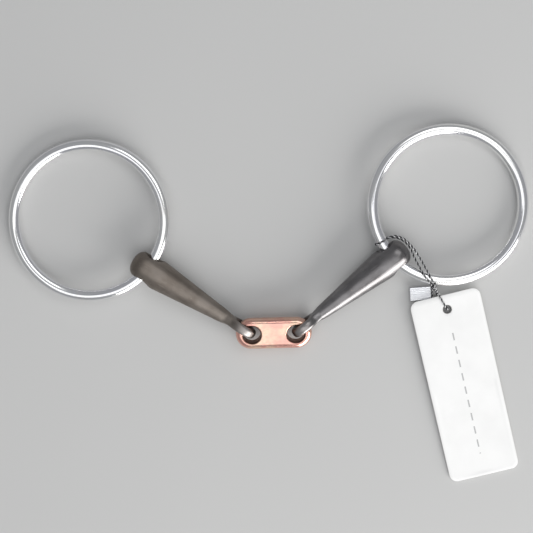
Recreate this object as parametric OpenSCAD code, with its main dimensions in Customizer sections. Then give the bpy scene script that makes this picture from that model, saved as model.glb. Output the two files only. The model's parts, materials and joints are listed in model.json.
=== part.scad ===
// A double-jointed loose-ring snaffle bit, lying flat as it is laid on a table, with its shop tag.
// Millimetres, +Z up. The origin is under the middle of the bit's box, at the height of the table.

/* [Rings] */
// Outer diameter of each loose ring
ring_outer_d = 70; // [64:1:76]
// Diameter of the wire that the rings are bent from
wire_d = 5; // [4.6:0.1:5]

/* [Cannons] */
// Distance from the link's hole to the ring's hole in the butt
cannon_reach = 53.4; // [50:0.1:60]
// Diameter of the thick butt end
butt_d = 13.2; // [13:0.1:13.6]
// Distance from the ring's hole to the tip of the domed butt
butt_end = 7.2; // [7:0.1:8]
// Diameter of the hole that the ring runs in
ring_hole_d = 7.2; // [7.2:0.1:7.6]
// Diameter of that hole's flared mouths
ring_mouth_d = 9; // [8.8:0.1:9.4]
// Diameter of the cannon where it meets the eye
neck_d = 4.4; // [4.4:0.1:5]
// Outer diameter of the flattened eye at the thin end
eye_d = 13.2; // [13:0.1:13.2]
// Diameter of the eye's bore
eye_bore_d = 7.2; // [7.2:0.1:7.4]
// Thickness of the eye
eye_t = 4.2; // [3.8:0.1:4.3]

/* [Centre link] */
// Length of the link from end to end
link_length = 33; // [32:0.5:34]
// Width of the link
link_width = 13.8; // [12:0.1:14]
// Thickness of the link
link_t = 5.6; // [5:0.1:5.6]
// Diameter of the link's two holes
link_hole_d = 7.6; // [7.6:0.1:7.8]
// Distance between the two holes
link_spacing = 19; // [18.5:0.1:19.5]

/* [How it lies] */
// Turn of the link about the vertical, degrees
link_turn = 1.5; // [0:0.5:3]
// Roll of the link about its long axis, degrees
link_roll = 10; // [6:1:10]
// Left cannon's angle above the straight line, degrees
left_lift = 32.4; // [20:0.1:40]
// Right cannon's angle above the straight line, degrees
right_lift = 38.2; // [20:0.1:40]
// How far each ring turns up from its cannon's line, degrees
left_lead = 7; // [0:0.5:7]
right_lead = 5.5; // [0:0.5:7]

/* [Tag] */
// Width of the card
card_w = 31; // [28:1:31]
// Height of the card
card_h = 83.5; // [60:0.5:84]
// Thickness of the card
card_t = 0.5; // [0.4:0.1:0.6]
// Diameter of the card's hole
card_hole_d = 4; // [3:0.1:5]
// Length of the seal
seal_l = 9; // [8:0.5:9]
// Width of the seal
seal_w = 5.6; // [5:0.1:5.6]
// Thickness of the seal
seal_t = 2.2; // [2:0.1:2.2]
// Diameter of the cord
cord_d = 0.8; // [0.6:0.1:0.8]

/* [Hidden] */

wire_r = wire_d / 2;
ring_r = (ring_outer_d - wire_d) / 2;
wire_offset = 0.1;           // the wire's line in its hole, towards the neck
cannon_z = butt_d / 2;       // height of the cannons' axis above the table
eye_wall = (eye_d - eye_bore_d) / 2;
eye_x = (eye_bore_d + eye_wall) / 2;
// the tilt that brings the ring's far side down onto the table
ring_tilt = asin((cannon_z - wire_r) / (2 * ring_r - wire_offset));
// the link hangs in the two eyes a little below their middle
link_z = cannon_z - 0.2 - eye_x * sin(35) * tan(link_roll);

left_dir = 180 - left_lift;
right_dir = right_lift;
left_ring_dir = left_dir - left_lead;
right_ring_dir = right_dir + right_lead;

function toward(angle, length) = [cos(angle), sin(angle)] * length;
link_hole_at = toward(link_turn, link_spacing / 2);
left_hole_at = -link_hole_at + toward(left_dir, cannon_reach);
right_hole_at = link_hole_at + toward(right_dir, cannon_reach);
ring_shift = (ring_r - wire_offset) * cos(ring_tilt);
left_centre = left_hole_at + toward(left_ring_dir, ring_shift);
right_centre = right_hole_at + toward(right_ring_dir, ring_shift);

// half the extent of a tilted ring along x or y, where tip is its normal's share along that axis
function ring_half(tip) = ring_r * sqrt(1 - tip * tip) + wire_r;
low_x = left_centre[0] - ring_half(sin(ring_tilt) * cos(left_ring_dir));
high_x = right_centre[0] + ring_half(sin(ring_tilt) * cos(right_ring_dir));
high_y = right_centre[1] + ring_half(sin(ring_tilt) * sin(right_ring_dir));
link_edge = 2.4;
low_y = -((link_width / 2 - link_edge) * cos(link_roll) + link_edge
          + (link_t / 2 - link_edge) * sin(link_roll)
          + (link_length - link_width) / 2 * sin(link_turn));
middle = [(low_x + high_x) / 2, (low_y + high_y) / 2];

// The tag's points are laid out for a right butt whose hole is here; the shift carries them along
// with the butt when a size changes.
drawn_butt_hole = [53.8, -8.8];
tag_shift = right_hole_at - middle - drawn_butt_hole;

// The cord's middle line: from inside the seal, under the card's edge, up over the ring, past the
// butt, once round the wire and back, over the card, down its hole and up to the knot.
cord_route = [
    [67.2, -27.0, 1.1], [67.2, -28.9, 1.1], [67.8, -30.4, 0.9], [69.3, -31.0, 0.8],
    [70.8, -30.4, 0.9], [71.4, -28.9, 0.9], [71.4, -27.0, 1.0], [71.2, -25.0, 1.6],
    [70.9, -23.2, 3.6], [70.5, -21.7, 6.6], [69.6, -19.9, 8.9], [67.1, -16.6, 9.35],
    [64.8, -12.6, 7.8], [62.8, -8.8, 6.5], [61.3, -5.4, 5.6], [59.0, -2.6, 5.2],
    [56.0, -0.9, 4.9], [53.3, -0.6, 4.6], [50.6, -0.9, 4.2], [48.7, -1.9, 3.5],
    [46.7, -3.0, 4.3], [46.0, -3.4, 6.5], [46.7, -3.0, 8.7], [48.7, -1.9, 9.6],
    [51.0, -0.5, 8.9], [54.0, 0.6, 8.3], [58.0, -0.7, 8.0], [61.6, -4.0, 7.9],
    [64.6, -8.2, 7.9], [66.9, -12.2, 8.3], [69.0, -16.0, 9.1], [70.8, -19.3, 9.4],
    [71.7, -21.3, 8.8], [72.5, -23.0, 7.2], [73.8, -25.4, 4.8], [75.4, -28.2, 4.05],
    [76.5, -30.1, 4.0], [77.1, -31.1, 3.95], [77.7, -32.0, 3.5], [78.0, -32.5, 2.35],
    [77.7, -32.0, 1.2], [77.1, -31.1, 0.75], [76.5, -30.1, 0.75], [75.2, -28.9, 0.8],
    [73.8, -26.8, 1.1], [72.8, -25.0, 2.1], [72.2, -23.5, 4.3], [71.8, -22.2, 6.9]];

arc_steps = 8;
function arc(centre, radius, from, to) =
    [for (i = [0:arc_steps]) centre + toward(from + (to - from) * i / arc_steps, radius)];

// right half of a bar's section with rounded edges, from the bottom to the top
function half_section(half_w, half_t, edge) = concat(
    [[0, -half_t]],
    arc([half_w - edge, -half_t + edge], edge, -90, 0),
    arc([half_w - edge, half_t - edge], edge, 0, 90),
    [[0, half_t]]);

module rounded_disc(radius, thickness, edge)
    rotate_extrude($fn = 96) polygon(half_section(radius, thickness / 2, edge));

// a hole along Z with a countersink at each mouth
module countersunk(bore_d, mouth_d, depth, sink) {
    cylinder(h = depth + 2, d = bore_d, center = true, $fn = 72);
    for (side = [0, 1])
        mirror([0, 0, side])
            translate([0, 0, depth / 2 - sink])
                cylinder(h = 2 * sink, d1 = bore_d, d2 = 2 * mouth_d - bore_d, $fn = 72);
}

// ---- rings ----

module ring() rotate_extrude($fn = 144) translate([ring_r, 0]) circle(r = wire_r, $fn = 48);

module placed_ring(hole_at, direction)
    translate([hole_at[0] - middle[0], hole_at[1] - middle[1], cannon_z])
        rotate([0, ring_tilt, direction])
            translate([ring_r - wire_offset, 0, 0]) ring();

module left_ring() color([0.80, 0.80, 0.79]) placed_ring(left_hole_at, left_ring_dir);

module right_ring() color([0.80, 0.80, 0.79]) placed_ring(right_hole_at, right_ring_dir);

// ---- cannons ----

butt_r = butt_d / 2;
neck_r = neck_d / 2;
taper_end = 10;                  // the cannon runs into the eye here
shoulder = 18;                   // the taper steepens on the eye's side of this
shoulder_r = 3.5;
straight_from = cannon_reach - 6;  // the long taper ends here; the butt is straight to the dome
dome_power = 2.5;
ring_sink = 2.2;                 // depth of the flared mouths of the ring's hole
eye_edge = 1.4;
small_mouth_d = 8.6;             // flared mouths of the eye's bore and of the link's holes
small_sink = 0.7;
cheek_from = [eye_x + 3, 5];     // where the cheeks leave the eye's disc, and their radius there
cheek_to = [16, 2.2];            // where they end, inside the round neck

// the butt's dome, a super-ellipse from the ring's hole to the tip
dome = [for (i = [0:12]) let (a = 90 * (1 - i / 12))
    [cannon_reach + butt_end * pow(cos(a), 2 / dome_power), butt_r * pow(sin(a), 2 / dome_power)]];
neck = [for (i = [0:6]) let (t = i / 6)
    [taper_end + (shoulder - taper_end) * t,
     neck_r + (shoulder_r - neck_r) * (0.75 * sin(90 * t) + 0.25 * t)]];
cannon_profile = concat([[taper_end, 0]], neck, [[straight_from, butt_r]], dome);

module cannon_body()
    rotate([0, 90, 0]) rotate_extrude($fn = 96) polygon([for (p = cannon_profile) [p[1], p[0]]]);

// the flat disc round the bore, and the cheeks that join it to the round body: a cone as thick as it
module eye() {
    cheek_l = cheek_to[0] - cheek_from[0];
    translate([eye_x, 0, 0]) rotate([90, 0, 0]) rounded_disc(eye_d / 2, eye_t, eye_edge);
    translate([cheek_from[0], 0, 0])
        intersection() {
            rotate([0, 90, 0]) cylinder(h = cheek_l, r1 = cheek_from[1], r2 = cheek_to[1], $fn = 96);
            translate([0, -eye_t / 2, -eye_d / 2]) cube([cheek_l, eye_t, eye_d]);
        }
}

module cannon() {
    difference() {
        union() {
            cannon_body();
            eye();
        }
        translate([eye_x, 0, 0]) rotate([90, 0, 0]) countersunk(eye_bore_d, small_mouth_d, eye_t, small_sink);
        translate([cannon_reach, 0, 0])
            rotate([90, 0, 0]) countersunk(ring_hole_d, ring_mouth_d, butt_d, ring_sink);
    }
}

module placed_cannon(link_hole, direction)
    translate([link_hole[0] - middle[0], link_hole[1] - middle[1], cannon_z])
        rotate([0, 0, direction]) cannon();

module left_cannon() color([0.30, 0.27, 0.25]) placed_cannon(-link_hole_at, left_dir);

module right_cannon() color([0.27, 0.27, 0.29]) placed_cannon(link_hole_at, right_dir);

// ---- link ----

module link_bar()
    rotate([90, 0, 90])
        linear_extrude(link_length - link_width, center = true)
            union() {
                polygon(half_section(link_width / 2, link_t / 2, link_edge));
                mirror([1, 0]) polygon(half_section(link_width / 2, link_t / 2, link_edge));
            }

module centre_link()
    color([0.85, 0.55, 0.42])
    translate([-middle[0], -middle[1], link_z])
        rotate([0, 0, link_turn]) rotate([link_roll, 0, 0])
            difference() {
                union() {
                    link_bar();
                    for (side = [-1, 1])
                        translate([side * (link_length - link_width) / 2, 0, 0])
                            rounded_disc(link_width / 2, link_t, link_edge);
                }
                for (side = [-1, 1])
                    translate([side * link_spacing / 2, 0, 0])
                        countersunk(link_hole_d, small_mouth_d, link_t, small_sink);
            }

// ---- tag ----

card_corner = 3.5;
card_turn = 13.8;            // the card's turn about the vertical
card_tilt = 2.1;             // its top lies on the seal and its foot on the table
card_hole_down = 6.5;        // from the card's top edge to the middle of its hole
card_hole_at = [77.8, -32.2];
card_foot_z = 0.05;

module card_outline() {
    half = [card_w / 2, card_h / 2];
    polygon(concat(
        arc([half[0] - card_corner, half[1] - card_corner], card_corner, 0, 90),
        arc([-half[0] + card_corner, half[1] - card_corner], card_corner, 90, 180),
        arc([-half[0] + card_corner, -half[1] + card_corner], card_corner, 180, 270),
        arc([half[0] - card_corner, -half[1] + card_corner], card_corner, 270, 360)));
}

module tag_card()
    color([0.97, 0.97, 0.96])
    translate([card_hole_at[0] + tag_shift[0], card_hole_at[1] + tag_shift[1],
               card_foot_z + (card_h - card_hole_down) * sin(card_tilt)])
        rotate([0, 0, card_turn]) rotate([card_tilt, 0, 0])
            difference() {
                translate([0, card_hole_down - card_h / 2, 0]) linear_extrude(card_t) card_outline();
                cylinder(h = 4 * card_t, d = card_hole_d, center = true, $fn = 48);
            }

seal_at = [66.2, -25.5];
seal_turn = 4;
seal_ribs = 7;
rib_depth = 0.15;

// a flat pressed sleeve with fine ribs along its length, closed onto the cord's two ends
module tag_seal()
    color([0.78, 0.79, 0.80])
    translate([seal_at[0] + tag_shift[0], seal_at[1] + tag_shift[1], seal_t / 2])
        rotate([0, 0, seal_turn])
            rotate([90, 0, 90])
                linear_extrude(seal_l, center = true) seal_section();

module seal_section() {
    rib = seal_w / (seal_ribs * 2 + 1);
    top = [for (i = [0:seal_ribs * 2]) each
        [[seal_w / 2 - rib * i, seal_t / 2 - (i % 2) * rib_depth],
         [seal_w / 2 - rib * (i + 1), seal_t / 2 - (i % 2) * rib_depth]]];
    polygon(concat([[-seal_w / 2, -seal_t / 2], [seal_w / 2, -seal_t / 2]], top));
}

// ---- cord ----

cord_sides = 8;

function unit(v) = v / norm(v);

// a point between b and c on the smooth curve through a, b, c and d
function between(a, b, c, d, t) =
    ((2 * b) + (c - a) * t + (2 * a - 5 * b + 4 * c - d) * t * t
     + (3 * b - a - 3 * c + d) * t * t * t) / 2;

function smooth(route) = let (last = len(route) - 1)
    concat([for (i = [0:last - 1]) each
        [route[i], between(route[max(i - 1, 0)], route[i], route[i + 1],
                           route[min(i + 2, last)], 0.5)]], [route[last]]);

// one side direction for each ring of the tube, carried along without twist
function carried(tangents, side, i = 0) = i == len(tangents) ? [] :
    let (next = unit(side - (side * tangents[i]) * tangents[i]))
    concat([next], carried(tangents, next, i + 1));

module tube(line, radius, sides) {
    last = len(line) - 1;
    tangents = [for (i = [0:last]) unit(line[min(i + 1, last)] - line[max(i - 1, 0)])];
    across = carried(tangents, [1, 0, 0]);
    points = [for (i = [0:last]) let (up = cross(tangents[i], across[i]))
        for (k = [0:sides - 1]) let (a = 360 * k / sides)
            line[i] + radius * (cos(a) * across[i] + sin(a) * up)];
    skin = [for (i = [0:last - 1]) for (k = [0:sides - 1])
        let (a = i * sides + k, b = i * sides + (k + 1) % sides)
            each [[a, b + sides, b], [a, a + sides, b + sides]]];
    polyhedron(points, concat(skin,
        [[for (k = [0:sides - 1]) k]],
        [[for (k = [sides - 1:-1:0]) last * sides + k]]));
}

module tag_cord()
    color([0.20, 0.20, 0.21])
    translate([tag_shift[0], tag_shift[1], 0]) tube(smooth(cord_route), cord_d / 2, cord_sides);

left_ring();
right_ring();
left_cannon();
right_cannon();
centre_link();
tag_card();
tag_cord();
tag_seal();
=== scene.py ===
"""The looks of a double-jointed loose-ring snaffle bit and its hang tag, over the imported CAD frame.

Metres, +Z up from the table, +X from the left ring to the right ring, as in part.scad.
"""

import json
import math

import bpy
import numpy as np
from mathutils import Matrix, Vector, geometry


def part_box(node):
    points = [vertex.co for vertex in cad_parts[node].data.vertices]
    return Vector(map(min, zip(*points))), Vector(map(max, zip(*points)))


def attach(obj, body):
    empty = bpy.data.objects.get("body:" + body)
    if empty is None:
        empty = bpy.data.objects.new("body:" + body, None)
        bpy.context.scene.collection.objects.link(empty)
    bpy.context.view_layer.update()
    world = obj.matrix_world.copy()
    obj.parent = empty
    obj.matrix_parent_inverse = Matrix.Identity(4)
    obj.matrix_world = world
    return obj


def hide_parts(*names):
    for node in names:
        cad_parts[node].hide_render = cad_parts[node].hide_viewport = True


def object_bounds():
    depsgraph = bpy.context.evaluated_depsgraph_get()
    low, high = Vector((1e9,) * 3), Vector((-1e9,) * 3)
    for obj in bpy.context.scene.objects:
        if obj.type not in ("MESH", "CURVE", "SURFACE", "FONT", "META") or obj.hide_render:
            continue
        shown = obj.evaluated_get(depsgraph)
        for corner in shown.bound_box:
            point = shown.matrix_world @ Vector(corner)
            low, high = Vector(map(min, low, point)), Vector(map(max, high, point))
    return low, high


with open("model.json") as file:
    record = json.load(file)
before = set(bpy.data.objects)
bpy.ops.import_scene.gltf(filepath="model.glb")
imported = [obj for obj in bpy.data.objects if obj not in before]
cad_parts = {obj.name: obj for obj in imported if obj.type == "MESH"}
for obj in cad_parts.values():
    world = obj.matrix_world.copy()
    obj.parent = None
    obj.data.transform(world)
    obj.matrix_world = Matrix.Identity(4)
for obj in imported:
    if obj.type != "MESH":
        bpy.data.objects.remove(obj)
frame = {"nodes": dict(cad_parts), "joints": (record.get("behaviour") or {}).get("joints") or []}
cad_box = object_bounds()

MM = 0.001
RING_R = 32.5 * MM  # from a ring's middle to the middle of its wire
WIRE_R = 2.5 * MM
WIRE_INSET = 0.01 * MM  # the uneven wire is drawn this much thinner than the CAD wire
HOLE_SPACING = 19 * MM  # between the link's two holes
CANNON_REACH = 53.4 * MM  # from the link's hole to the ring's hole in the butt
CORD_D = 0.8 * MM
CARD_W, CARD_H, CARD_T = 31 * MM, 83.5 * MM, 0.5 * MM
CARD_CORNER = 3.5 * MM
CARD_HOLE_R = 2 * MM
CARD_HOLE_DOWN = 6.5 * MM  # from the card's top edge to the middle of its hole
CARD_GRID = 1.25 * MM  # between the points inside the card's outline
CARD_GRID_RIM, HOLE_GRID_RIM = 1 * MM, 0.5 * MM  # those points keep this far from its edge and hole
CARD_TURN, CARD_TILT = math.radians(13.8), math.radians(2.1)

# The tag is drawn, as in part.scad, for a right butt whose hole is here.
DRAWN_BUTT_HOLE = (53.8 * MM, -8.8 * MM)

# The cord's route, the same points as in part.scad, in millimetres.
CORD_ROUTE = [
    (67.2, -27.0, 1.1), (67.2, -28.9, 1.1), (67.8, -30.4, 0.9), (69.3, -31.0, 0.8),
    (70.8, -30.4, 0.9), (71.4, -28.9, 0.9), (71.4, -27.0, 1.0), (71.2, -25.0, 1.6),
    (70.9, -23.2, 3.6), (70.5, -21.7, 6.6), (69.6, -19.9, 8.9), (67.1, -16.6, 9.35),
    (64.8, -12.6, 7.8), (62.8, -8.8, 6.5), (61.3, -5.4, 5.6), (59.0, -2.6, 5.2),
    (56.0, -0.9, 4.9), (53.3, -0.6, 4.6), (50.6, -0.9, 4.2), (48.7, -1.9, 3.5),
    (46.7, -3.0, 4.3), (46.0, -3.4, 6.5), (46.7, -3.0, 8.7), (48.7, -1.9, 9.6),
    (51.0, -0.5, 8.9), (54.0, 0.6, 8.3), (58.0, -0.7, 8.0), (61.6, -4.0, 7.9),
    (64.6, -8.2, 7.9), (66.9, -12.2, 8.3), (69.0, -16.0, 9.1), (70.8, -19.3, 9.4),
    (71.7, -21.3, 8.8), (72.5, -23.0, 7.2), (73.8, -25.4, 4.8), (75.4, -28.2, 4.05),
    (76.5, -30.1, 4.0), (77.1, -31.1, 3.95), (77.7, -32.0, 3.5), (78.0, -32.5, 2.35),
    (77.7, -32.0, 1.2), (77.1, -31.1, 0.75), (76.5, -30.1, 0.75), (75.2, -28.9, 0.8),
    (73.8, -26.8, 1.1), (72.8, -25.0, 2.1), (72.2, -23.5, 4.3), (71.8, -22.2, 6.9),
]


# ---- camera ----

def make_camera():
    """Looks nearly straight down, leaning a little from the rings' side, as the photograph does."""
    lean, distance, width = math.radians(8), 0.65, 0.2303
    aim = Vector((-0.0008, -0.0128, 0.005))
    data = bpy.data.cameras.new("camera")
    data.sensor_width = 36
    data.lens = data.sensor_width * distance / width
    data.clip_start, data.clip_end = 0.01, 20
    camera = bpy.data.objects.new("camera", data)
    camera.location = aim + distance * Vector((0, math.sin(lean), math.cos(lean)))
    camera.rotation_euler = (-lean, 0, 0)
    bpy.context.scene.collection.objects.link(camera)
    bpy.context.scene.camera = camera


# ---- meshes ----

def mesh_object(name, points, faces):
    """A smooth-shaded object of these points and faces."""
    mesh = bpy.data.meshes.new(name)
    mesh.from_pydata([tuple(p) for p in points], [], [tuple(int(i) for i in f) for f in faces])
    mesh.update()
    mesh.shade_smooth()
    made = bpy.data.objects.new(name, mesh)
    bpy.context.scene.collection.objects.link(made)
    return made


def smooth_line(points, step):
    """The Catmull-Rom curve through the points, cut into even steps of this length."""
    p = np.array(points, float)
    p = np.vstack([p[0], p, p[-1]])
    t = np.linspace(0, 1, 24, endpoint=False)[:, None]
    parts = []
    for a, b, c, d in zip(p, p[1:], p[2:], p[3:]):
        parts.append(((2 * b) + (c - a) * t + (2 * a - 5 * b + 4 * c - d) * t * t
                      + (3 * b - a - 3 * c + d) * t ** 3) / 2)
    fine = np.vstack([*parts, p[-1:]])
    run = np.concatenate([[0], np.cumsum(np.linalg.norm(np.diff(fine, axis=0), axis=1))])
    even = np.linspace(0, run[-1], int(round(run[-1] / step)) + 1)
    return np.stack([np.interp(even, run, fine[:, k]) for k in range(3)], axis=1)


def carried_sides(line):
    """For each point of a line its two side directions, carried along without twist."""
    ahead = np.gradient(line, axis=0)
    ahead /= np.linalg.norm(ahead, axis=1)[:, None]
    side = np.cross(ahead[0], (0.3, 0.2, 0.9))
    across = []
    for t in ahead:
        side = side - (side @ t) * t
        side /= np.linalg.norm(side)
        across.append(side)
    across = np.array(across)
    return across, np.cross(ahead, across)


def laid_cord(name, line, radius, pitch, plies=3, per_ply=8):
    """A cord laid from round plies: its lobed section turns once in each pitch along the line.
    The attribute "metal" is 1 on the middle of the first ply, which is the silver one."""
    sides = plies * per_ply
    phi = np.arange(sides) * 2 * math.pi / sides
    half = math.pi / plies
    psi = (phi % (2 * half)) - half
    ply_r = radius / (1 + 1 / math.sin(half))
    reach = ply_r / math.sin(half)
    inside = np.clip(ply_r ** 2 - (reach * np.sin(psi)) ** 2, 0, None)
    section = reach * np.cos(psi) + np.sqrt(inside)
    across, up = carried_sides(line)
    run = np.concatenate([[0], np.cumsum(np.linalg.norm(np.diff(line, axis=0), axis=1))])
    turn = phi[None] + run[:, None] * 2 * math.pi / pitch
    points = (line[:, None] + (section * np.cos(turn))[..., None] * across[:, None]
              + (section * np.sin(turn))[..., None] * up[:, None]).reshape(-1, 3)
    first = np.arange(len(line) - 1)[:, None] * sides
    k = np.arange(sides)[None]
    nxt = (k + 1) % sides
    skin = np.stack([first + k, first + nxt, first + sides + nxt, first + sides + k], -1)
    last = (len(line) - 1) * sides
    caps = [list(range(sides))[::-1], [last + i for i in range(sides)]]
    made = mesh_object(name, points, [*skin.reshape(-1, 4), *caps])
    metal = np.where((phi < 2 * half) & (np.abs(psi) < 0.8 * half), 1.0, 0.0)
    layer = made.data.attributes.new("metal", "FLOAT", "POINT")
    layer.data.foreach_set("value", np.tile(metal, len(line)).astype(np.float32))
    return made


def ring_place(node):
    """The matrix that lays a ring's own plane and middle where the CAD node has them."""
    low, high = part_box(node)
    points = np.array([v.co for v in frame["nodes"][node].data.vertices])
    _, _, axes = np.linalg.svd(points - points.mean(0), full_matrices=False)
    normal = Vector(axes[2]) * (1 if axes[2][2] > 0 else -1)
    return Matrix.Translation((low + high) / 2) @ normal.to_track_quat("Z", "Y").to_matrix().to_4x4()


def make_ring(name, node, body, material):
    """A wire ring, much finer than the CAD mesh so that its polish reflects evenly."""
    around, along = 48, 360
    place = np.array(ring_place(node))
    a, b = np.meshgrid(np.arange(along) * 2 * math.pi / along,
                       np.arange(around) * 2 * math.pi / around, indexing="ij")
    # a drawn and bent wire is never quite round: its radius strays by up to 1%
    uneven = 1 + 0.006 * np.sin(3 * a + 2 * b) - 0.004 * np.sin(7 * a - b + 1)
    thick = WIRE_R * uneven - WIRE_INSET
    reach = RING_R + thick * np.cos(b)
    points = np.stack([reach * np.cos(a), reach * np.sin(a), thick * np.sin(b)], -1)
    i, j = np.meshgrid(np.arange(along), np.arange(around), indexing="ij")
    ni, nj = (i + 1) % along, (j + 1) % around
    faces = np.stack([i * around + j, ni * around + j, ni * around + nj, i * around + nj], -1)
    laid = points.reshape(-1, 3) @ place[:3, :3].T + place[:3, 3]
    made = mesh_object(name, laid, faces.reshape(-1, 4))
    made.data.materials.append(material)
    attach(made, body)
    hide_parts(node)


def forge(node, voxel, rounds, material):
    """Melts a CAD node's creases together, as forging and polishing leave them."""
    made = frame["nodes"][node]
    weld = made.modifiers.new("weld", "WELD")
    weld.merge_threshold = 1e-6
    melt = made.modifiers.new("melt", "REMESH")
    melt.mode = "VOXEL"
    melt.voxel_size = voxel
    melt.use_smooth_shade = True
    soften = made.modifiers.new("soften", "SMOOTH")
    soften.factor = 0.5
    soften.iterations = rounds
    dress(made, material)


def dress(made, material):
    """Gives an object one material in place of what it came with."""
    made.data.materials.clear()
    made.data.materials.append(material)


# ---- materials ----

class Shader:
    """A material and short ways to add its nodes."""

    def __init__(self, name):
        self.material = bpy.data.materials.new(name)
        self.material.use_nodes = True
        self.tree = self.material.node_tree
        self.surface = self.tree.nodes["Principled BSDF"]

    def node(self, kind, inputs=(), **settings):
        made = self.tree.nodes.new(kind)
        for key, value in settings.items():
            setattr(made, key, value)
        for key, value in dict(inputs).items():
            self.put(made.inputs[key], value)
        return made

    def put(self, socket, value):
        """Links a node's output to the socket, or sets a plain value on it."""
        if isinstance(value, bpy.types.NodeSocket):
            self.tree.links.new(value, socket)
        else:
            socket.default_value = value

    def math(self, operation, a, b=0.0, clamp=False):
        made = self.node("ShaderNodeMath", {0: a, 1: b}, operation=operation, use_clamp=clamp)
        return made.outputs[0]

    def local(self, place):
        """Coordinates that stay with the object, in the frame that this matrix places."""
        where = self.node("ShaderNodeTexCoord").outputs["Object"]
        made = self.node("ShaderNodeMapping", {"Vector": where}, vector_type="TEXTURE")
        made.inputs["Location"].default_value = place.to_translation()
        made.inputs["Rotation"].default_value = place.to_euler()
        return made.outputs[0]

    def parts(self, vector):
        return self.node("ShaderNodeSeparateXYZ", {0: vector}).outputs

    def vector(self, x, y, z):
        return self.node("ShaderNodeCombineXYZ", {0: x, 1: y, 2: z}).outputs[0]

    def noise(self, vector, scale, detail=3.0, w=None):
        made = self.node("ShaderNodeTexNoise", {"Vector": vector, "Scale": scale, "Detail": detail},
                         noise_dimensions="3D" if w is None else "4D")
        if w is not None:
            self.put(made.inputs["W"], w)
        return made.outputs["Fac"]

    def span(self, value, low, high, to_low=0.0, to_high=1.0):
        """Maps low..high to to_low..to_high, clamped."""
        made = self.node("ShaderNodeMapRange", {
            "Value": value, "From Min": low, "From Max": high, "To Min": to_low, "To Max": to_high})
        return made.outputs["Result"]

    def mix(self, factor, a, b):
        """Mixes two colours, each three numbers or a node's output."""
        made = self.node("ShaderNodeMix", data_type="RGBA")
        for key, value in (("Factor_Float", factor), ("A_Color", a), ("B_Color", b)):
            socket = next(s for s in made.inputs if s.identifier == key)
            self.put(socket, (*value, 1) if isinstance(value, tuple) else value)
        return next(s for s in made.outputs if s.identifier == "Result_Color")

    def bump(self, height, strength, distance, under=None):
        made = self.node("ShaderNodeBump", {
            "Height": height, "Strength": strength, "Distance": distance})
        if under is not None:
            self.put(made.inputs["Normal"], under)
        return made.outputs["Normal"]

    def finish(self, color, roughness, normal=None, **plain):
        """Wires the surface up, and sets its uniform values on the shader itself."""
        self.put(self.surface.inputs["Base Color"], color)
        self.put(self.surface.inputs["Roughness"], roughness)
        if normal is not None:
            self.put(self.surface.inputs["Normal"], normal)
        for key, value in plain.items():
            self.surface.inputs[key.replace("_", " ")].default_value = value
        return self.material


def ring_steel(name, place):
    """Polished steel wire: faint polishing lines along the wire, dulled here and there by handling."""
    s = Shader(name)
    x, y, z = s.parts(s.local(place))
    out = s.math("SQRT", s.math("ADD", s.math("MULTIPLY", x, x), s.math("MULTIPLY", y, y)))
    off = s.math("SUBTRACT", out, RING_R)

    def lines(across, along, detail):
        there = s.vector(s.math("MULTIPLY", off, across), s.math("MULTIPLY", z, across),
                         s.math("MULTIPLY", x, along))
        return s.noise(there, 1.0, detail, w=s.math("MULTIPLY", y, along))

    fine, broad, patches = lines(2600, 45, 4), lines(520, 28, 2), lines(60, 55, 3)
    shade = s.mix(s.span(broad, 0.38, 0.62), (0.94, 0.94, 0.93), (0.84, 0.84, 0.87))
    shade = s.mix(s.span(fine, 0.60, 0.78, 0, 0.6), shade, (0.70, 0.70, 0.73))
    shade = s.mix(s.span(patches, 0.58, 0.78, 0, 0.5), shade, (0.88, 0.83, 0.77))
    rough = s.math("ADD", s.span(fine, 0.35, 0.7, 0.09, 0.17), s.span(patches, 0.5, 0.75, 0, 0.08))
    normal = s.bump(fine, 0.15, 0.02 * MM, s.bump(broad, 0.18, 0.08 * MM))
    return s.finish(shade, rough, normal, Metallic=1.0)


def sweet_iron(name, place, deep, light, satin):
    """Heat-darkened iron: a little blotched, with drawn lines along the bar. Near its eye it is lighter,
    partly wear and partly a painted highlight, and painted shade darkens the eye down inside the joint.
    Satin is the least roughness."""
    s = Shader(name)
    there = s.local(place)
    x, y, z = s.parts(there)
    drawn = s.noise(s.vector(s.math("MULTIPLY", x, 90), s.math("MULTIPLY", y, 1500),
                             s.math("MULTIPLY", z, 1500)), 1.0, 4)
    blotch = s.noise(there, 130, 4)
    grain = s.noise(there, 2600, 3)
    shade = s.mix(s.span(blotch, 0.36, 0.64), deep, light)
    shade = s.mix(s.span(drawn, 0.56, 0.74, 0, 0.5), shade, tuple(1.25 * c for c in light))
    specks = s.span(s.noise(there, 900, 2), 0.70, 0.76)
    shade = s.mix(specks, shade, (0.30, 0.27, 0.24))
    # lighter towards the eye: partly wear, partly a painted highlight
    wear_and_highlight = s.math("MULTIPLY", s.span(x, 3 * MM, 11 * MM, 1, 0), s.span(blotch, 0.3, 0.6, 0.55, 1))
    shade = s.mix(wear_and_highlight, shade, (0.42, 0.39, 0.38))
    # painted shade: down inside the link's hole the eye is darkened nearly to black
    inside = s.math("MULTIPLY", s.span(x, 6 * MM, 10 * MM, 1, 0),
                    s.span(z, 3.5 * MM, 5.5 * MM, 0.9, 0))
    shade = s.mix(inside, shade, (0.035, 0.028, 0.024))
    rough = s.math("ADD", s.span(blotch, 0.3, 0.7, satin, satin + 0.1),
                   s.span(drawn, 0.4, 0.7, 0, 0.08))
    normal = s.bump(grain, 0.22, 0.03 * MM, s.bump(drawn, 0.25, 0.05 * MM))
    return s.finish(shade, rough, normal, Metallic=1.0)


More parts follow.
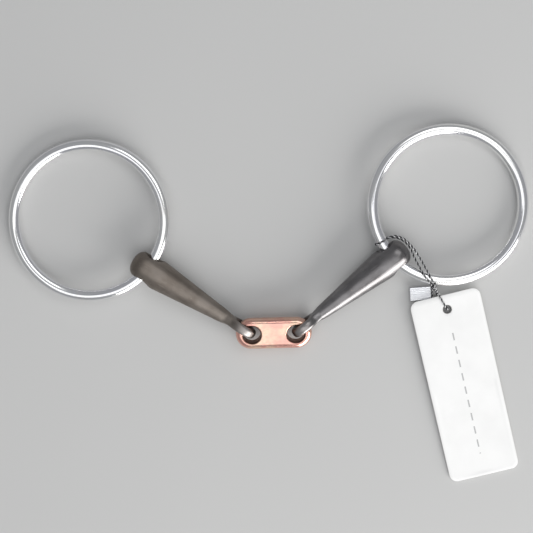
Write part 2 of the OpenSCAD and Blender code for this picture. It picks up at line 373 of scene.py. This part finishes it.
def copper_alloy(place):
    """Polished copper alloy: peach and rose patches, light rubbing marks, painted shade inside its holes
    and on its side faces.
    """
    s = Shader("copper_alloy")
    there = s.local(place)
    x, y, z = s.parts(there)
    patches = s.noise(there, 160, 3)
    marks = s.noise(s.vector(s.math("MULTIPLY", x, 420), s.math("MULTIPLY", y, 2200),
                             s.math("MULTIPLY", z, 900)), 1.0, 4)
    dents = s.noise(there, 330, 2)
    shade = s.mix(s.span(patches, 0.38, 0.60), (0.97, 0.68, 0.52), (0.93, 0.50, 0.42))
    shade = s.mix(s.span(marks, 0.58, 0.74, 0, 0.5), shade, (0.99, 0.84, 0.70))
    hole_x = s.math("SUBTRACT", s.math("ABSOLUTE", x), HOLE_SPACING / 2)
    from_hole = s.math("SQRT", s.math("ADD", s.math("MULTIPLY", hole_x, hole_x),
                                      s.math("MULTIPLY", y, y)))
    # painted shade inside the holes: their walls are darkened to deep brown and made rougher
    painted_hole_shade = s.span(from_hole, 3.8 * MM, 4.6 * MM, 0.88, 0)
    shade = s.mix(painted_hole_shade, shade, (0.16, 0.075, 0.05))
    # painted shade on the side faces: the middle of the link's thickness is darker
    side = s.span(s.math("ABSOLUTE", z), 1.6 * MM, 2.4 * MM, 0.45, 0)
    shade = s.mix(side, shade, (0.52, 0.33, 0.26))
    rough = s.math("ADD", s.span(marks, 0.35, 0.7, 0.14, 0.26), s.math("MULTIPLY", painted_hole_shade, 0.3))
    normal = s.bump(marks, 0.18, 0.03 * MM, s.bump(dents, 0.30, 0.12 * MM))
    return s.finish(shade, rough, normal, Metallic=1.0)


def coated_card(place):
    """Smooth white card: faint fibres, a plain grey dashed rule, and a rubbed rim and hole."""
    s = Shader("coated_card")
    there = s.local(place)
    x, y, z = s.parts(there)
    fibre = s.noise(s.vector(s.math("MULTIPLY", x, 900), s.math("MULTIPLY", y, 2400), z), 1.0, 5)
    cloud = s.noise(there, 70, 3)
    shade = s.mix(s.span(cloud, 0.35, 0.65), (0.93, 0.93, 0.925), (0.89, 0.89, 0.885))
    shade = s.mix(s.span(fibre, 0.62, 0.80, 0, 0.35), shade, (0.80, 0.79, 0.77))
    pitch, filled, rule_half_width = 6.2 * MM, 0.55, 0.32 * MM
    rule_down, rule_half_length = 38.5 * MM, 28.5 * MM
    step = s.math("FRACT", s.math("DIVIDE", s.math("ADD", y, 1.0), pitch))
    dash = s.math("MULTIPLY", s.math("LESS_THAN", step, filled),
                  s.math("LESS_THAN", s.math("ABSOLUTE", x), rule_half_width))
    inside = s.math("LESS_THAN", s.math("ABSOLUTE", s.math("ADD", y, rule_down)), rule_half_length)
    top = s.math("GREATER_THAN", z, CARD_T * 0.5)
    ink = s.math("MULTIPLY", s.math("MULTIPLY", dash, inside), top)
    shade = s.mix(s.math("MULTIPLY", ink, 0.7), shade, (0.30, 0.30, 0.31))
    from_hole = s.math("SQRT", s.math("ADD", s.math("MULTIPLY", x, x), s.math("MULTIPLY", y, y)))
    rub = 0.4 * MM
    edge = s.math("MAXIMUM", s.span(from_hole, CARD_HOLE_R, CARD_HOLE_R + rub, 0.5, 0),
                  s.span(s.math("ABSOLUTE", x), CARD_W / 2 - rub, CARD_W / 2, 0, 0.45))
    shade = s.mix(edge, shade, (0.66, 0.64, 0.61))
    rough = s.span(cloud, 0.3, 0.7, 0.42, 0.55)
    normal = s.bump(fibre, 0.15, 0.04 * MM, s.bump(cloud, 0.2, 0.2 * MM))
    return s.finish(shade, rough, normal)


def cord_yarn(name):
    """Twisted yarn: black plies and one of silver, with fine fibres across each."""
    s = Shader(name)
    metal = s.node("ShaderNodeAttribute", attribute_name="metal").outputs["Fac"]
    where = s.node("ShaderNodeTexCoord").outputs["Object"]
    fibre = s.noise(where, 9000, 3)
    dark = s.mix(s.span(fibre, 0.35, 0.7), (0.012, 0.012, 0.014), (0.07, 0.07, 0.075))
    bright = s.mix(s.span(fibre, 0.35, 0.65), (0.62, 0.62, 0.63), (0.92, 0.92, 0.93))
    silver = s.span(metal, 0.35, 0.65)
    shade = s.mix(silver, dark, bright)
    rough = s.math("SUBTRACT", 0.65, s.math("MULTIPLY", silver, 0.33))
    s.put(s.surface.inputs["Metallic"], s.math("MULTIPLY", silver, 0.75))
    return s.finish(shade, rough, s.bump(fibre, 0.5, 0.06 * MM))


def pressed_metal(place):
    """A thin pressed seal: satin, with fine lines along it and a few scuffs."""
    s = Shader("pressed_metal")
    there = s.local(place)
    x, y, z = s.parts(there)
    lines = s.noise(s.vector(s.math("MULTIPLY", x, 160), s.math("MULTIPLY", y, 5200),
                             s.math("MULTIPLY", z, 5200)), 1.0, 3)
    scuffs = s.noise(there, 700, 3)
    shade = s.mix(s.span(lines, 0.36, 0.64), (0.84, 0.85, 0.87), (0.62, 0.63, 0.66))
    shade = s.mix(s.span(scuffs, 0.60, 0.74, 0, 0.6), shade, (0.93, 0.93, 0.94))
    rough = s.span(scuffs, 0.3, 0.7, 0.26, 0.42)
    return s.finish(shade, rough, s.bump(lines, 0.4, 0.04 * MM), Metallic=1.0)


def studio_floor():
    """Plain pale floor with barely seen clouding."""
    s = Shader("studio_floor")
    there = s.node("ShaderNodeTexCoord").outputs["Object"]
    cloud = s.noise(there, 6, 2)
    shade = s.mix(cloud, (0.58, 0.58, 0.575), (0.55, 0.55, 0.547))
    return s.finish(shade, s.span(cloud, 0, 1, 0.55, 0.65))


# ---- pieces ----

def bar_place(hole, towards):
    """The matrix whose X runs from one point to the other, with Z up."""
    along = (Vector(towards) - Vector(hole)).normalized()
    up = Vector((0, 0, 1))
    side = up.cross(along).normalized()
    turn = Matrix((along, side, along.cross(side))).transposed().to_4x4()
    return Matrix.Translation(hole) @ turn


def joint_at(name):
    """Where a joint of the record turns, and about which direction."""
    found = next(j for j in frame["joints"] if j["name"] == name)
    return Vector(found["pos_m"]), Vector(found["axis"])


def knot_line(shift):
    """The knot's centreline: a short coil of a few turns, narrower at both ends."""
    middle = np.array((71.35, -21.8, 7.6)) * MM + shift
    axis = np.array((-0.35, 0.75, 0.55))
    axis /= np.linalg.norm(axis)
    u = np.cross(axis, (0, 0, 1))
    u /= np.linalg.norm(u)
    v = np.cross(axis, u)
    turns, widest, height = 2.3, 0.85 * MM, 1.5 * MM
    t = np.linspace(0, 1, 40)
    reach = widest * np.sin(np.pi * (0.12 + 0.76 * t)) ** 0.5
    a = 2 * math.pi * turns * t
    return (middle + (reach * np.cos(a))[:, None] * u + (reach * np.sin(a))[:, None] * v
            + ((t - 0.5) * height)[:, None] * axis)


def make_cord():
    """The tag's cord: out of the seal, over the ring, round its wire by the butt, back through
    the card's hole, and up to its knot, which is drawn in slightly thinner cord."""
    pitch, step, knot_r = 2.1 * MM, 0.1 * MM, 0.34 * MM
    hole, _ = joint_at("right_ring_swing")
    shift = np.array((hole.x - DRAWN_BUTT_HOLE[0], hole.y - DRAWN_BUTT_HOLE[1], 0))
    line = smooth_line(np.array(CORD_ROUTE) * MM + shift, step)
    cord = laid_cord("tag_cord_yarn", line, CORD_D / 2, pitch)
    dress(cord, cord_yarn("cord_yarn"))
    knot = laid_cord("tag_cord_knot", smooth_line(knot_line(shift), step), knot_r, pitch)
    dress(knot, cord_yarn("knot_yarn"))
    for piece in (cord, knot):
        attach(piece, "right_ring")
    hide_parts("tag_cord")


def card_edge():
    """The card's outline in its own frame, whose origin is the middle of its hole."""
    steps = np.linspace(0, math.pi / 2, 9)
    points = []
    for k, (sx, sy) in enumerate([(1, 1), (-1, 1), (-1, -1), (1, -1)]):
        cx = sx * (CARD_W / 2 - CARD_CORNER)
        cy = sy * (CARD_H / 2 - CARD_CORNER) + CARD_HOLE_DOWN - CARD_H / 2
        points += [(cx + CARD_CORNER * math.cos(a + k * math.pi / 2),
                    cy + CARD_CORNER * math.sin(a + k * math.pi / 2)) for a in steps]
    return points


def make_card():
    """The hang tag: thin card with rounded corners and a punched hole, its foot curling up a little."""
    edge = card_edge()
    hole = [(CARD_HOLE_R * math.cos(a), CARD_HOLE_R * math.sin(a))
            for a in np.linspace(0, -2 * math.pi, 32, endpoint=False)]
    down = np.arange(CARD_HOLE_DOWN - CARD_H, CARD_HOLE_DOWN, CARD_GRID)
    columns = np.arange(-12, 13) * CARD_GRID
    grid = [(x, y) for x in columns for y in down
            if math.hypot(x, y) > CARD_HOLE_R + HOLE_GRID_RIM and within(x, y, CARD_GRID_RIM)]
    points = edge + hole + grid
    loops = [(i, (i + 1) % len(edge)) for i in range(len(edge))]
    loops += [(len(edge) + i, len(edge) + (i + 1) % len(hole)) for i in range(len(hole))]
    flat, _, faces, *_ = geometry.delaunay_2d_cdt([Vector(p) for p in points], loops, [], 0, 1e-7)
    kept = []
    for f in faces:
        x, y = sum((flat[i] for i in f), Vector((0, 0))) / len(f)
        if math.hypot(x, y) > CARD_HOLE_R * 0.97 and within(x, y):
            kept.append(f)
    place = card_place()
    curled = [place @ Vector((p.x, p.y, curl(p.x, p.y))) for p in flat]
    card = mesh_object("tag_card_board", curled, kept)
    thick = card.modifiers.new("thickness", "SOLIDIFY")
    thick.thickness, thick.offset = CARD_T, 1
    soft = card.modifiers.new("soft_edges", "BEVEL")
    soft.width, soft.segments, soft.limit_method = 0.07 * MM, 2, "ANGLE"
    dress(card, coated_card(place))
    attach(card, "tag_card")
    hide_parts("tag_card")


def within(x, y, margin=0.0):
    """Whether a point of the card's own frame is inside its rounded outline by this much."""
    px = abs(x) - (CARD_W / 2 - CARD_CORNER)
    py = abs(y - CARD_HOLE_DOWN + CARD_H / 2) - (CARD_H / 2 - CARD_CORNER)
    outside = math.hypot(max(px, 0), max(py, 0)) + min(max(px, py), 0)
    return outside < CARD_CORNER - margin


def curl(x, y):
    """How far the card lifts off flat: its two lower corners curl up by under a millimetre."""
    down = max(0.0, -y / (CARD_H - CARD_HOLE_DOWN) - 0.45) / 0.55
    return 0.7 * MM * down ** 2 * (0.35 + 0.65 * (x / (CARD_W / 2)) ** 2)


def card_place():
    """The card's own frame: origin at its hole on its underside, Y up the card."""
    foot = 0.05 * MM + (CARD_H - CARD_HOLE_DOWN) * math.sin(CARD_TILT)
    hinge, _ = joint_at("tag_card_swing")
    turn = Matrix.Rotation(CARD_TURN, 4, "Z") @ Matrix.Rotation(CARD_TILT, 4, "X")
    return Matrix.Translation((hinge.x, hinge.y, foot)) @ turn


def make_bit():
    """Rings, cannons and link."""
    for side in ("left", "right"):
        ring = f"{side}_ring"
        make_ring(f"{ring}_wire", ring, ring, ring_steel(f"ring_steel_{side}", ring_place(ring)))
    finishes = {"left": ((0.200, 0.172, 0.148), (0.280, 0.248, 0.220), 0.40),
                "right": ((0.175, 0.168, 0.170), (0.250, 0.242, 0.246), 0.26)}
    for side, (deep, light, satin) in finishes.items():
        hole, _ = joint_at(f"{side}_cannon_fold")
        butt, _ = joint_at(f"{side}_ring_swing")
        hole.z = butt.z
        iron = sweet_iron(f"sweet_iron_{side}", bar_place(hole, butt), deep, light, satin)
        forge(f"{side}_cannon", 0.22 * MM, 50, iron)
    left, axis = joint_at("left_cannon_fold")
    right, _ = joint_at("right_cannon_fold")
    along = (right - left).normalized()
    turn = Matrix((along, axis.cross(along), axis)).transposed().to_4x4()
    place = Matrix.Translation((left + right) / 2) @ turn
    forge("centre_link", 0.16 * MM, 16, copper_alloy(place))


def make_seal():
    """The CAD seal with its sharp edges taken off."""
    seal = frame["nodes"]["tag_seal"]
    low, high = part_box("tag_seal")
    place = Matrix.Translation((low + high) / 2) @ Matrix.Rotation(math.radians(4), 4, "Z")
    weld = seal.modifiers.new("weld", "WELD")
    weld.merge_threshold = 1e-6
    soft = seal.modifiers.new("soft_edges", "BEVEL")
    soft.width, soft.segments, soft.limit_method = 0.06 * MM, 2, "ANGLE"
    dress(seal, pressed_metal(place))


# ---- stage ----

def make_floor():
    half, gap = 1.5, 0.02 * MM
    z = cad_box[0].z - gap
    floor = mesh_object("floor", [(-half, -half, z), (half, -half, z), (half, half, z),
                                  (-half, half, z)], [(0, 1, 2, 3)])
    dress(floor, studio_floor())


def make_light(name, azimuth, elevation, distance, size, watts, color=(1, 1, 1)):
    """A soft area light that faces the object. Azimuth is counted from +X towards +Y."""
    a, e = math.radians(azimuth), math.radians(elevation)
    away = Vector((math.cos(e) * math.cos(a), math.cos(e) * math.sin(a), math.sin(e)))
    data = bpy.data.lights.new(name, "AREA")
    data.shape, data.size, data.size_y = "RECTANGLE", *size
    data.energy, data.color = watts, color
    light = bpy.data.objects.new(name, data)
    light.location = away * distance
    light.rotation_mode = "QUATERNION"
    light.rotation_quaternion = away.to_track_quat("Z", "Y")
    light.visible_camera = False
    bpy.context.scene.collection.objects.link(light)


def make_lights():
    make_light("overhead", -90, 72, 1.0, (1.1, 0.7), 2.3)
    make_light("far_side", 58, 58, 1.0, (0.7, 0.5), 1.6)
    make_light("window", -52, 18, 1.6, (1.6, 0.92), 32, (1.0, 0.99, 0.97))
    world = bpy.data.worlds.new("studio")
    world.use_nodes = True
    sky = world.node_tree.nodes["Background"]
    sky.inputs["Color"].default_value = (0.95, 0.97, 1.0, 1)
    sky.inputs["Strength"].default_value = 0.34
    bpy.context.scene.world = world
    bpy.context.scene.view_settings.view_transform = "Standard"


make_camera()
make_cord()
make_bit()
make_card()
make_seal()
make_floor()
make_lights()
